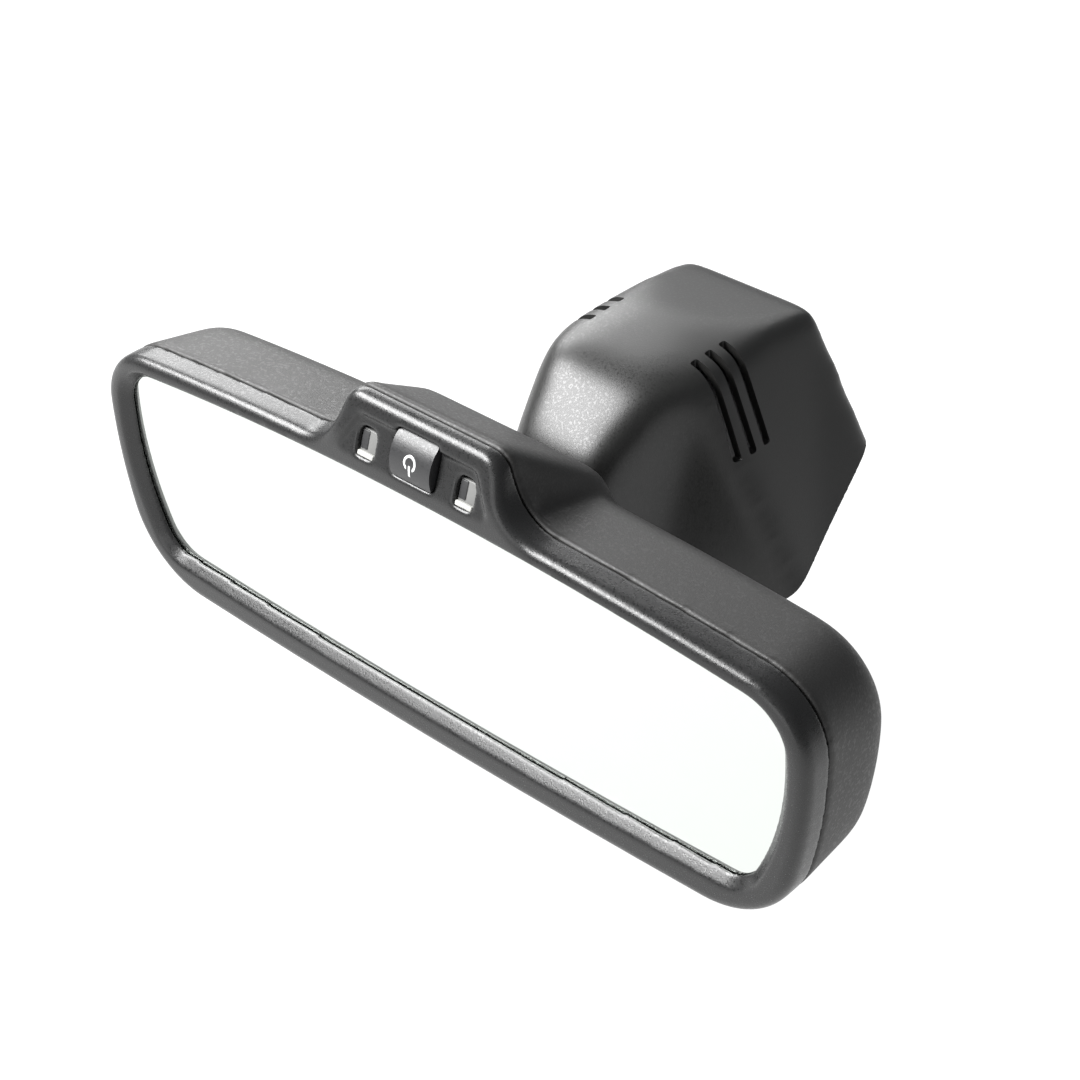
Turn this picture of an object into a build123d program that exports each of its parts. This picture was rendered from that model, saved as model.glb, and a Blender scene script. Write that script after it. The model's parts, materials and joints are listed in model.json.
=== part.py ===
from build123d import *
from math import cos, degrees, radians, sin, tan
import os

# An interior rearview mirror: an auto-dimming head on a ball joint, and a windscreen mount under a cover.
# Millimetres. The origin is the centre of the mount's socket on the windscreen plane, +X runs along the
# mirror's long axis, +Y from the glass towards the windscreen, and +Z towards the button edge of the head.

os.makedirs("parts", exist_ok=True)

# ---- Places ---------------------------------------------------------------------------------------
head_y = -80.0                # front lip plane of the glass opening
head_z = 28.7                 # middle of the glass
ball_depth = 24.0             # ball centre behind the lip plane
ball_rise = 2.0               # ball centre above the middle of the glass
screen_angle = 27.5           # windscreen plane to the horizontal, degrees

# ---- Glass opening --------------------------------------------------------------------------------
glass_top_width = 225.6       # between the sharp top corners
glass_bottom_width = 208.2    # between the sharp bottom corners
glass_height = 65.0           # at the middle
glass_top_crown = 6.3
glass_bottom_crown = 2.6
side_bow = 5.0                # how far each end bulges past the straight line between its corners
glass_top_corner_r = 11.4
glass_bottom_corner_r = 10.0

# ---- Front bezel ----------------------------------------------------------------------------------
bead_side = 8.4               # bead width at the two ends
bead_top = 6.5
bead_bottom = 11.0
bead_height = 3.6             # crest in front of the lip plane
bead_outer_r = 3.2
bead_inner_slope = 3.1        # bevel from the crest down to the glass
bead_low_corner_extra = 10.0  # how much rounder the bezel's bottom corners are than an even offset
seam_depth = 5.0              # parting plane behind the lip plane
seam_gap = 0.3                # visible groove between bezel and housing
lip_overlap = 1.8             # how far the bezel's lip covers the glass edge
bezel_wall = 3.5

# ---- Chin with the button -------------------------------------------------------------------------
chin_top = 56.0               # above the middle of the glass
chin_shoulder_width = 51.0
chin_root = 43.0              # height where the chin's face starts to lean back
chin_lean = 20.0              # degrees
chin_lean_r = 20.0            # curve from the upright face to the leaning one
chin_flare = 18.0             # lean of the chin's sides, degrees
chin_shoulder_r = 6.0
chin_foot_r = 14.0
panel_top = 52.0
panel_bottom = 39.4
panel_top_width = 40.0
panel_bottom_width = 54.0
panel_depth = 1.2             # below the bead's crest
panel_corner_r = 2.5
chin_wall = 1.5               # behind the panel's top edge
window_spacing = 34.0
window_width = 6.2
window_bottom = 40.2
recess_width = 4.4            # hollow in front of each window's lens, to the left of its middle
recess_height = 6.8
recess_offset = 0.8
recess_middle = 5.3           # above the window's foot
window_height = 8.0
window_fit = 0.15
button_width = 13.8
button_height = 11.6
button_middle = 46.2
button_crown = 2.2            # how far the middle of the cap stands proud of the panel
button_gap = 0.35
button_corner_r = 0.8
button_flange = 1.2           # retaining ears behind the panel
button_flange_sheet = 1.2
button_travel = 0.8
button_skirt = 7.4            # cap's depth behind the panel at its lower edge
symbol_r = 2.1
symbol_line = 0.65
symbol_bar = 3.0
symbol_sheet = 0.3
symbol_proud = 0.04

# ---- Rear housing ---------------------------------------------------------------------------------
housing_back = 33.0           # back face behind the lip plane
housing_wall = 2.2
housing_side_taper = 1.0      # how much smaller the back is, at its ends
housing_top_taper = 3.5
housing_bottom_taper = 2.0
housing_back_corner_extra = 6.0
housing_low_corner_extra = 13.0
housing_edge_r = 10.0
tongue_gap = 0.25             # between the bezel's tongue and the housing's wall
tongue_length = 2.5
hump_break = 7.5              # depth at which the raised plateau starts to fall
hump_back_height = 38.5       # its height at the back face
hump_back_width = 66.0
stem_opening_r = 16.5

# ---- Glass cell, from front to back ---------------------------------------------------------------
glass_setback = 0.1           # front glass behind the lip plane
glass_sheet = 2.0
cell_gap = 0.3
seal_inset = 0.3
seal_width = 2.0
clip_half_width = 75.0
clip_drop = 5.0
clip_sheet = 0.35
foam_sheet = 1.4
foam_inset = 6.0
carrier_sheet = 2.2
carrier_play = 0.6

# ---- Board in the head ----------------------------------------------------------------------------
board_width = 60.0
board_bottom = 17.5
board_shoulder = 34.5
board_neck_width = 40.0
board_top = 48.5
board_sheet = 1.6
board_standoff = 3.6          # behind the carrier plate
board_screw_spacing = 50.0
board_screw_height = 22.5
board_boss_r = 2.8
board_screw_r = 1.1
switch_size = 4.4
switch_height = 3.4
plunger_r = 1.7
plunger_fit = 0.08
plunger_reach = 0.6           # into the switch at rest
chip_size = 9.0
chip_sheet = 1.4
chip_x = 3.0
chip_z = 27.0
connector_width = 12.0
connector_height = 6.0
connector_depth = 6.5
connector_x = -17.0
connector_z = 26.5
sensor_size = 3.6
sensor_sheet = 1.4
ambient_x = 22.0
ambient_z = 29.0
ambient_lens_r = 3.0
part_fit = 0.1                # between pieces that are pushed or laid together

# ---- Ball joint -----------------------------------------------------------------------------------
ball_r = 8.0
ball_play = 0.05
liner_wall = 1.95
clamp_wall = 1.95
clamp_slot = 2.0
socket_wall = 2.4
joint_mouth = 55.0            # half angle of the opening for the neck, degrees
neck_r = 4.2
socket_flange_r = 21.0
socket_flange_sheet = 2.4
socket_screw_pcd = 35.0
socket_screw_count = 4
socket_screw_r = 1.4
screw_short = 0.4             # the screws end this far inside the carrier
screw_head_r = 2.5
screw_head_height = 1.4

# ---- Stem and mount foot --------------------------------------------------------------------------
boss_reach = 38.0             # from the ball centre to the middle of the foot's boss
boss_r = 8.5
boss_length = 17.0
stem_r = 5.0
stem_fit = 0.05
collar_r = 7.0
collar_sheet = 2.5
thread_r = 3.5
nut_across = 12.0
nut_sheet = 4.0
foot_r = 18.0
foot_height = 10.0
button_socket_r = 12.8        # socket for the button bonded to the windscreen
button_socket_depth = 4.0
leaf_pocket_r = 11.5
leaf_pocket_depth = 0.8
leaf_sheet = 0.5
leaf_hole_r = 6.0
column_r = 9.0
foot_screw_r = 1.6
foot_screw_length = 4.6
foot_screw_key = 1.5

# ---- Mount cover ----------------------------------------------------------------------------------
cover_wall = 2.2
cover_glass_gap = 0.8         # rim to windscreen, taken up by the gasket
cover_rear = 62.0             # rim's rear end from the socket centre, along the windscreen
cover_front = 34.0            # rim's front end
rim_rear_width = 78.0
rim_wide = 99.0
rim_wide_at = 10.0            # widest place behind the socket centre
rim_front_width = 24.0
rim_corner_r = 12.0
crest_height = 69.0           # level at which the plan of the top face is drawn
crest_rear_y = 53.5
crest_rear_width = 41.0
crest_front_y = -4.0
crest_width = 41.0
crest_corner_r = 10.0
cover_side_r = 34.0
nose_y = -35.4                # front wall
nose_width = 23.0
slope_top_y = -7.0            # upper edge of the sloping face
slope_angle = 40.0            # degrees
slope_foot_z = 44.0           # below every edge of the top and the slope
nose_edge_y = -25.0           # behind both upright edges of the nose
nose_edge_height = 30.0       # less than their height
top_apex_y = 17.0
top_height = 71.0             # highest line of the top face
top_long_r = 150.0            # curvature along the cover
top_cross_r = 106.0           # curvature across it
cover_edge_r = 4.0            # soft edges of the top, the slope and the nose
stem_hole_r = 9.5
slit_count = 3
slit_pitch = 5.8
slit_first_y = 2.5
slit_width = 2.3
slit_inner_x = 17.3           # upper ends on the top face
slit_bottom = 44.5            # lower ends on the side face
gasket_overhang = 0.4
frame_gap = 0.5               # cover frame to the cover's wall
frame_sheet = 2.0
frame_screw_pcd = 27.0
frame_screw_count = 3
frame_screw_r = 1.5
frame_screw_length = 7.0
header_width = 16.0
header_height = 7.0
header_depth = 6.0
header_along = 38.0           # behind the socket centre
header_pin_count = 5
header_pin_pitch = 2.5
header_pin = 0.8
header_pin_length = 3.0


def head_plane(depth):
    """Plane facing the driver, at a depth behind the lip plane, centred on the glass."""
    return Plane(origin=(0, head_y + depth, head_z), x_dir=(1, 0, 0), z_dir=(0, -1, 0))


def screen_plane(height):
    """Plane facing the windscreen, at a height below it on the cabin side, centred on the mount."""
    tilt = radians(screen_angle)
    outward = Vector(0, sin(tilt), -cos(tilt))
    return Plane(origin=outward * -height, x_dir=(1, 0, 0), z_dir=outward)


def head_outline(side=0.0, top=0.0, bottom=0.0, top_corner=0.0, low_corner=0.0):
    """Outline of the head, grown from the glass opening by an amount at its sides, top and bottom."""
    top_half = glass_top_width / 2 + side
    bottom_half = glass_bottom_width / 2 + side
    top_z = glass_height / 2 + top
    bottom_z = -glass_height / 2 - bottom
    shoulder_z = top_z - glass_top_crown
    hip_z = bottom_z + glass_bottom_crown
    bow_x = (top_half + bottom_half) / 2 + side_bow
    bow_z = (shoulder_z + hip_z) / 2
    with BuildSketch() as outline:
        with BuildLine():
            ThreePointArc((-top_half, shoulder_z), (0, top_z), (top_half, shoulder_z))
            ThreePointArc((top_half, shoulder_z), (bow_x, bow_z), (bottom_half, hip_z))
            ThreePointArc((bottom_half, hip_z), (0, bottom_z), (-bottom_half, hip_z))
            ThreePointArc((-bottom_half, hip_z), (-bow_x, bow_z), (-top_half, shoulder_z))
        make_face()
        fillet(outline.vertices().group_by(Axis.Y)[-1], glass_top_corner_r + side + top_corner)
        fillet(outline.vertices().group_by(Axis.Y)[0], glass_bottom_corner_r + side + low_corner)
    return outline.sketch


def outer_outline(inset=0.0):
    """Outline of the bezel and the housing without the chin, or the same shape inset all round."""
    return head_outline(bead_side - inset, bead_top - inset, bead_bottom - inset, 0, bead_low_corner_extra)


def back_outline(inset=0.0):
    """Outline of the rear housing where its back face would meet its sides."""
    return head_outline(
        bead_side - housing_side_taper - inset, bead_top - housing_top_taper - inset,
        bead_bottom - housing_bottom_taper - inset, housing_back_corner_extra,
        housing_low_corner_extra,
    )


def chin_outline(inset=0.0):
    """Trapezoid of the chin, its root sunk into the head."""
    root_z = glass_height / 2 - 2.0
    shoulder_z = chin_top - inset
    shoulder_x = chin_shoulder_width / 2 - inset
    root_x = shoulder_x + (shoulder_z - root_z) * tan(radians(chin_flare))
    with BuildSketch() as outline:
        with BuildLine():
            Polyline(
                (root_x, root_z), (shoulder_x, shoulder_z),
                (-shoulder_x, shoulder_z), (-root_x, root_z), close=True,
            )
        make_face()
        fillet(outline.vertices().group_by(Axis.Y)[-1], chin_shoulder_r - inset)
    return outline.sketch


def bezel_outline(inset=0.0):
    """Whole front outline: the head with its chin, blended at the chin's feet."""
    with BuildSketch() as outline:
        add(outer_outline(inset))
        add(chin_outline(inset))
        upper = outline.vertices().filter_by(lambda v: v.Y > 0)
        feet = upper.filter_by(lambda v: chin_shoulder_width / 2 + 2 < abs(v.X) < chin_shoulder_width)
        fillet(feet, chin_foot_r + inset)
    return outline.sketch


def chin_plane(sink=0.0):
    """Plane of the chin's leaning face, or one sunk below it."""
    lean = radians(chin_lean)
    front = Vector(0, -cos(lean), sin(lean))
    return Plane(origin=Vector(0, head_y - bead_height, head_z + chin_root) - front * sink,
                 x_dir=(1, 0, 0), z_dir=front)


def panel_depth_at(height):
    """Depth of the button panel behind the lip plane, at a height above the middle of the glass."""
    lean = radians(chin_lean)
    return panel_depth / cos(lean) - bead_height + (height - chin_root) * tan(lean)


def at_depth(sketch, depth):
    """The sketch placed at a depth behind the lip plane."""
    with BuildSketch(head_plane(depth)) as placed:
        add(sketch)
    return placed.sketch


def outward_edges(faces):
    """Edges where a front-facing face meets a side face."""
    front = faces.filter_by(lambda face: face.normal_at().Y < -0.5)
    sides = faces.filter_by(lambda face: abs(face.normal_at().Y) < 0.5)
    return [edge for edge in front.edges() if any(edge.is_same(other) for other in sides.edges())]


def save(part, name):
    """Label a finished piece and write it."""
    part.part.label = name
    export_step(part.part, f"parts/{name}.step")


def cap_form(grow=0.0):
    """The button's cap with its crowned face, or the same form grown or sunk at its face."""
    low = button_middle - button_height / 2
    high = low + button_height
    low_y = head_y + panel_depth_at(low) - grow
    middle_y = head_y + panel_depth_at(button_middle) - grow - button_crown
    high_y = head_y + panel_depth_at(high) - grow
    back_y = head_y + cap_back
    with BuildPart() as form:
        with BuildSketch(Plane.YZ):
            with BuildLine():
                Polyline((high_y, head_z + high), (back_y, head_z + high), (back_y, head_z + low),
                         (low_y, head_z + low))
                ThreePointArc((low_y, head_z + low), (middle_y, head_z + button_middle),
                              (high_y, head_z + high))
            make_face()
        extrude(amount=button_width / 2, both=True)
    return form.part


def screw(plane, head_r, head_height, shank_r, length, places):
    """Pan-head screws with their heads standing on a plane and their shanks below it."""
    with BuildPart() as screws:
        with BuildSketch(plane):
            with Locations(*places):
                Circle(head_r)
        extrude(amount=head_height)
        fillet(screws.faces().sort_by(plane_axis(plane))[-1].edges(), head_height * 0.4)
        with BuildSketch(plane):
            with Locations(*places):
                Circle(shank_r)
        extrude(amount=-length)
        with BuildSketch(plane.offset(head_height)):
            with Locations(*places):
                Rectangle(shank_r * 2, shank_r * 0.5)
                Rectangle(shank_r * 0.5, shank_r * 2)
        extrude(amount=-head_height * 0.6, mode=Mode.SUBTRACT)
    return screws


def plane_axis(plane):
    """Axis along a plane's normal."""
    return Axis(plane.origin, plane.z_dir)


def window_shape(grow=0.0):
    """Arched sensor window, flat at its foot."""
    with BuildSketch() as shape:
        with Locations((0, window_bottom - grow)):
            Rectangle(window_width + 2 * grow, window_height + 2 * grow, align=(Align.CENTER, Align.MIN))
        fillet(shape.vertices().group_by(Axis.Y)[-1], window_width / 2 + grow - 0.1)
    return shape.sketch


def cup(inner_r, outer_r):
    """Spherical shell round the ball centre, open towards the windscreen."""
    with BuildPart() as shell:
        with Locations(ball_centre):
            Sphere(outer_r)
            Sphere(inner_r, mode=Mode.SUBTRACT)
        with Locations(Plane(origin=ball_centre, z_dir=(0, 1, 0))):
            Cone(0, outer_r * 1.2 * tan(radians(joint_mouth)), outer_r * 1.2,
                 align=(Align.CENTER, Align.CENTER, Align.MIN), mode=Mode.SUBTRACT)
    return shell.part


def rim_outline(inset=0.0):
    """Outline of the cover's rim on the windscreen plane, its rear end at negative y."""
    rear, wide, front = rim_rear_width / 2 - inset, rim_wide / 2 - inset, rim_front_width / 2 - inset
    with BuildSketch() as outline:
        with BuildLine():
            Polyline(
                (rear, inset - cover_rear), (wide, -rim_wide_at), (front, cover_front - inset),
                (-front, cover_front - inset), (-wide, -rim_wide_at), (-rear, inset - cover_rear), close=True,
            )
        make_face()
        fillet(outline.vertices().group_by(Axis.Y)[0], rim_corner_r - inset)
        fillet(outline.vertices().filter_by(lambda v: abs(v.Y + rim_wide_at) < 0.1), cover_side_r)
    return outline.sketch


def crest_outline(inset=0.0):
    """Plan of the cover at its top face, its rear end at positive y."""
    rear, middle, nose = crest_rear_width / 2 - inset, crest_width / 2 - inset, nose_width / 2 - inset
    with BuildSketch() as outline:
        with BuildLine():
            Polyline(
                (rear, crest_rear_y - inset), (middle, crest_front_y), (nose, nose_y + inset),
                (-nose, nose_y + inset), (-middle, crest_front_y), (-rear, crest_rear_y - inset), close=True,
            )
        make_face()
        fillet(outline.vertices().group_by(Axis.Y)[-1], crest_corner_r - inset / 2)
        fillet(outline.vertices().filter_by(lambda v: abs(v.Y - crest_front_y) < 0.1), cover_side_r)
    return outline.sketch


def cover_form(inset=0.0, rim_extra=0.0, edge_r=0.0):
    """Solid form of the mount cover, inset all round, its rim run on past the windscreen side."""
    with BuildPart() as form:
        with BuildSketch(screen_plane(cover_glass_gap)) as rim:
            add(rim_outline(inset))
        with BuildSketch(Plane.XY.offset(crest_height)) as crest:
            add(crest_outline(inset))
        loft(ruled=True)
        extrude(crest.sketch, amount=top_height - crest_height + 1)
        if rim_extra:
            extrude(rim.sketch, amount=rim_extra)
        with BuildSketch(Plane.YZ) as barrel:
            spin_z = top_height - top_cross_r
            reach = cover_rear + cover_front
            drop = top_long_r - (top_long_r ** 2 - reach ** 2) ** 0.5
            with BuildLine():
                ThreePointArc((top_apex_y - reach, top_height - drop - inset),
                              (top_apex_y, top_height - inset),
                              (top_apex_y + reach, top_height - drop - inset))
                Polyline((top_apex_y + reach, top_height - drop - inset), (top_apex_y + reach, spin_z),
                         (top_apex_y - reach, spin_z), (top_apex_y - reach, top_height - drop - inset))
            make_face()
        revolve(axis=Axis((0, 0, spin_z), (0, 1, 0)), mode=Mode.INTERSECT)
        slope = radians(slope_angle)
        slope_plane = Plane(origin=(0, slope_top_y + inset * sin(slope), crest_height - inset * cos(slope)),
                            x_dir=(1, 0, 0), z_dir=(0, -sin(slope), cos(slope)))
        split(bisect_by=slope_plane, keep=Keep.BOTTOM)
        if edge_r:
            top_edges = form.edges().filter_by(lambda e: e.bounding_box().min.Z > slope_foot_z)
            uprights = form.edges().filter_by(
                lambda e: (e @ 0.5).Y < nose_edge_y and abs((e @ 1).Z - (e @ 0).Z) > nose_edge_height)
            fillet(top_edges + uprights, edge_r)
    return form.part


# ---- Depths behind the lip plane and shared places ------------------------------------------------
ball_centre = Vector(0, head_y + ball_depth, head_z + ball_rise)
housing_front = seam_depth + seam_gap
panel_front = panel_depth_at(button_middle - button_height / 2)
cavity_front = panel_depth_at(panel_top) + chin_wall
cell_front = glass_setback + glass_sheet
rear_glass_front = cell_front + cell_gap
rear_glass_back = rear_glass_front + glass_sheet
carrier_front = rear_glass_back + foam_sheet
carrier_back = carrier_front + carrier_sheet
board_front = carrier_back + board_standoff
board_back = board_front + board_sheet
flange_back = carrier_back + socket_flange_sheet
switch_front = board_front - switch_height
cap_back = panel_front + button_skirt
plunger_end = switch_front + plunger_reach
liner_inner = ball_r + ball_play
liner_outer = liner_inner + liner_wall
clamp_inner = liner_outer + ball_play
clamp_outer = clamp_inner + clamp_wall
socket_inner = clamp_outer + ball_play
socket_outer = socket_inner + socket_wall
boss_y = ball_centre.Y + boss_reach
ball_axis = Plane(origin=ball_centre, x_dir=(1, 0, 0), z_dir=(0, -1, 0))
socket_screws_at = [(x, y + ball_rise) for x, y in
                    [(socket_screw_pcd / 2 * cos(radians(45 + 360 / socket_screw_count * i)),
                      socket_screw_pcd / 2 * sin(radians(45 + 360 / socket_screw_count * i)))
                     for i in range(socket_screw_count)]]
board_screws_at = [(side * board_screw_spacing / 2, board_screw_height) for side in (-1, 1)]
window_places = [(side * window_spacing / 2, 0) for side in (-1, 1)]


# ---- Front bezel ----------------------------------------------------------------------------------
with BuildPart() as front_bezel:
    extrude(at_depth(bezel_outline(), seam_depth), amount=seam_depth + bead_height)
    with BuildSketch(Plane.YZ):
        front_y = head_y - bead_height
        rise = chin_top - chin_root + 5
        lean_from = head_z + chin_root - chin_lean_r * tan(radians(chin_lean / 2)) - 0.01
        with BuildLine():
            lean_line = FilletPolyline((front_y, lean_from), (front_y, head_z + chin_root),
                                       (front_y + rise * tan(radians(chin_lean)), head_z + chin_root + rise),
                                       radius=chin_lean_r)
            Polyline(lean_line @ 1, (front_y - 5, head_z + chin_root + rise), (front_y - 5, lean_from),
                     lean_line @ 0)
        make_face()
    extrude(amount=chin_shoulder_width, both=True, mode=Mode.SUBTRACT)
    outer_edges = outward_edges(front_bezel.faces())
    fillet(outer_edges, bead_outer_r)
    extrude(at_depth(bezel_outline(bezel_wall), seam_depth), amount=seam_depth - cavity_front,
            mode=Mode.SUBTRACT)
    extrude(at_depth(outer_outline(bezel_wall), seam_depth), amount=seam_depth - glass_setback,
            mode=Mode.SUBTRACT)
    extrude(at_depth(head_outline(), glass_setback), amount=glass_setback + bead_height, mode=Mode.SUBTRACT)
    crest = front_bezel.faces().filter_by(Axis.Y).sort_by(Axis.Y)[0]
    chamfer(crest.inner_wires()[0].edges(), bead_inner_slope)
    with BuildSketch(chin_plane(panel_depth)):
        with BuildLine():
            Polyline(
                (panel_bottom_width / 2, panel_bottom - chin_root),
                (panel_top_width / 2, panel_top - chin_root),
                (-panel_top_width / 2, panel_top - chin_root),
                (-panel_bottom_width / 2, panel_bottom - chin_root), close=True,
            )
        make_face()
        fillet(vertices(), panel_corner_r)
    extrude(amount=2 * panel_depth, mode=Mode.SUBTRACT)
    with BuildSketch(head_plane(seam_depth)):
        with Locations((0, button_middle)):
            RectangleRounded(button_width + 2 * button_gap, button_height + 2 * button_gap,
                             button_corner_r + button_gap)
        with Locations(*window_places):
            add(window_shape())
    extrude(amount=2 * seam_depth, mode=Mode.SUBTRACT)
    extrude(at_depth(bezel_outline(housing_wall + tongue_gap), seam_depth), amount=-tongue_length)
    extrude(at_depth(bezel_outline(bezel_wall), seam_depth), amount=-tongue_length, mode=Mode.SUBTRACT)
save(front_bezel, "front_bezel")


# ---- Rear housing ---------------------------------------------------------------------------------
def housing_form(inset=0.0):
    """Solid form of the rear housing, inset all round except at its open front."""
    with BuildPart() as form:
        with BuildSketch(head_plane(hump_break)):
            add(outer_outline(inset))
        with BuildSketch(head_plane(housing_back - inset)):
            add(back_outline(inset))
        loft(ruled=True)
        rear_face = form.faces().sort_by(Axis.Y)[-1]
        fillet(rear_face.edges(), housing_edge_r - inset)
        extrude(at_depth(bezel_outline(inset), housing_front), amount=housing_front - hump_break)
        add(hump_form(inset))
    return form.part


def hump_form(inset=0.0):
    """Plateau behind the chin, falling to the back face."""
    back_x = hump_back_width / 2 - inset
    back_top = hump_back_height - inset
    root_z = glass_height / 2 - 2.0
    flare = (chin_top - root_z) * tan(radians(chin_flare))
    with BuildPart() as form:
        with BuildSketch(head_plane(hump_break)):
            add(chin_outline(inset))
        with BuildSketch(head_plane(housing_back - inset)):
            with BuildLine():
                Polyline(
                    (back_x + flare, root_z / 2), (back_x, back_top), (-back_x, back_top),
                    (-back_x - flare, root_z / 2), close=True,
                )
            make_face()
            fillet(vertices().group_by(Axis.Y)[-1], chin_shoulder_r - inset)
        loft(ruled=True)
    return form.part


with BuildPart() as rear_housing:
    add(housing_form())
    add(housing_form(housing_wall), mode=Mode.SUBTRACT)
    with BuildSketch(head_plane(housing_back)):
        with Locations((0, ball_rise)):
            Circle(stem_opening_r)
        with Locations((ambient_x, ambient_z)):
            Circle(ambient_lens_r + part_fit)
    extrude(amount=2 * housing_wall, both=True, mode=Mode.SUBTRACT)
save(rear_housing, "rear_housing")


# ---- Glass cell -----------------------------------------------------------------------------------
glass_outline = head_outline(lip_overlap, lip_overlap, lip_overlap)
seal_outer = lip_overlap - seal_inset
seal_inner = seal_outer - seal_width

with BuildPart() as front_glass:
    extrude(at_depth(glass_outline, glass_setback), amount=-glass_sheet)
save(front_glass, "front_glass")

with BuildPart() as dimming_gel:
    extrude(at_depth(head_outline(seal_inner, seal_inner, seal_inner), cell_front), amount=-cell_gap)
save(dimming_gel, "dimming_gel")

with BuildPart() as edge_seal:
    extrude(at_depth(head_outline(seal_outer, seal_outer, seal_outer), cell_front), amount=-cell_gap)
    extrude(at_depth(head_outline(seal_inner, seal_inner, seal_inner), cell_front), amount=-cell_gap,
            mode=Mode.SUBTRACT)
save(edge_seal, "edge_seal")

with BuildPart() as rear_glass:
    extrude(at_depth(glass_outline, rear_glass_front), amount=-glass_sheet)
save(rear_glass, "rear_glass")


def bus_clip(side):
    """Springy strip along the top or bottom edge of the rear glass: a back leg and a wrapped edge."""
    over = lip_overlap + clip_sheet
    under = lip_overlap - clip_drop
    with BuildPart() as clip:
        extrude(at_depth(head_outline(over, over, over), rear_glass_front),
                amount=-(glass_sheet + clip_sheet))
        extrude(at_depth(glass_outline, rear_glass_front), amount=-glass_sheet, mode=Mode.SUBTRACT)
        extrude(at_depth(head_outline(under, under, under), rear_glass_back), amount=-clip_sheet,
                mode=Mode.SUBTRACT)
        with BuildSketch(head_plane(rear_glass_front)):
            with Locations((0, side * glass_height / 2)):
                Rectangle(2 * clip_half_width, glass_height)
        extrude(amount=-glass_sheet - clip_sheet, mode=Mode.INTERSECT)
    return clip


save(bus_clip(1), "bus_clip_top")
save(bus_clip(-1), "bus_clip_bottom")

with BuildPart() as foam_pad:
    inner = lip_overlap - foam_inset
    extrude(at_depth(head_outline(inner, inner, inner), rear_glass_back), amount=-foam_sheet)
save(foam_pad, "foam_pad")

with BuildPart() as carrier_plate:
    extrude(at_depth(outer_outline(bezel_wall + carrier_play), carrier_front), amount=-carrier_sheet)
    with BuildSketch(head_plane(carrier_back)):
        with Locations(*board_screws_at):
            Circle(board_boss_r)
    extrude(amount=-board_standoff)
    with BuildSketch(head_plane(board_front)):
        with Locations(*board_screws_at):
            Circle(board_screw_r + part_fit)
    extrude(amount=board_standoff, mode=Mode.SUBTRACT)
    with BuildSketch(head_plane(carrier_back)):
        with Locations(*socket_screws_at):
            Circle(socket_screw_r + part_fit)
    extrude(amount=carrier_sheet, mode=Mode.SUBTRACT)
save(carrier_plate, "carrier_plate")


# ---- Board and what is on it ----------------------------------------------------------------------
with BuildPart() as circuit_board:
    with BuildSketch(head_plane(board_front)):
        with Locations((0, board_bottom)):
            Rectangle(board_width, board_shoulder - board_bottom, align=(Align.CENTER, Align.MIN))
            Rectangle(board_neck_width, board_top - board_bottom, align=(Align.CENTER, Align.MIN))
        with Locations(*board_screws_at):
            Circle(board_screw_r + part_fit, mode=Mode.SUBTRACT)
    extrude(amount=-board_sheet)
save(circuit_board, "circuit_board")

save(screw(head_plane(board_back).rotated((180, 0, 0)), board_boss_r - 0.6, screw_head_height, board_screw_r,
           board_sheet + board_standoff - 0.5, [(x, -y) for x, y in board_screws_at]), "board_screws")

with BuildPart() as board_connector:
    with BuildSketch(head_plane(board_back)):
        with Locations((connector_x, connector_z)):
            Rectangle(connector_width, connector_height)
    extrude(amount=-connector_depth)
    with BuildSketch(head_plane(board_back + connector_depth)):
        with Locations((connector_x, connector_z)):
            Rectangle(connector_width - 1.6, connector_height - 1.6)
    extrude(amount=connector_depth - 1.5, mode=Mode.SUBTRACT)
save(board_connector, "board_connector")

with BuildPart() as control_chip:
    with BuildSketch(head_plane(board_back)):
        with Locations((chip_x, chip_z)):
            Rectangle(chip_size, chip_size)
    extrude(amount=-chip_sheet)
    chamfer(control_chip.faces().sort_by(Axis.Y)[-1].edges(), chip_sheet / 4)
save(control_chip, "control_chip")


def board_part(x, z, side, name):
    """Small square device on the board's front (-1) or back (1) face."""
    with BuildPart() as device:
        with BuildSketch(head_plane(board_front if side < 0 else board_back)):
            with Locations((x, z)):
                Rectangle(sensor_size, sensor_size)
        extrude(amount=-side * sensor_sheet)
        fillet(device.edges().filter_by(Axis.Y), sensor_size / 8)
    save(device, name)


window_middle = window_bottom + window_height / 2
board_part(-window_spacing / 2, window_middle, -1, "status_led")
board_part(window_spacing / 2, window_middle, -1, "glare_sensor")
board_part(ambient_x, ambient_z, 1, "ambient_sensor")


def window_block(side, name):
    """Clear block behind a window: a tall wall on its right and a sloped ledge along its foot."""
    back = board_front - sensor_sheet - part_fit
    with BuildPart() as block:
        with BuildSketch(head_plane(back)):
            with Locations((side * window_spacing / 2, 0)):
                add(window_shape(-window_fit))
        extrude(amount=back - panel_depth_at(window_bottom))
        with BuildSketch(head_plane(cavity_front)):
            with Locations((side * window_spacing / 2 - recess_offset, window_bottom + recess_middle)):
                Rectangle(recess_width, recess_height)
        extrude(amount=bezel_wall + bead_height, mode=Mode.SUBTRACT)
    save(block, name)


window_block(-1, "status_light_pipe")
window_block(1, "glare_sensor_window")

with BuildPart() as ambient_light_pipe:
    with BuildSketch(head_plane(board_back + sensor_sheet + part_fit)):
        with Locations((ambient_x, ambient_z)):
            Circle(ambient_lens_r)
    extrude(amount=-(housing_back - board_back - sensor_sheet - part_fit))
    fillet(ambient_light_pipe.faces().sort_by(Axis.Y)[-1].edges(), ambient_lens_r / 4)
save(ambient_light_pipe, "ambient_light_pipe")

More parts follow.
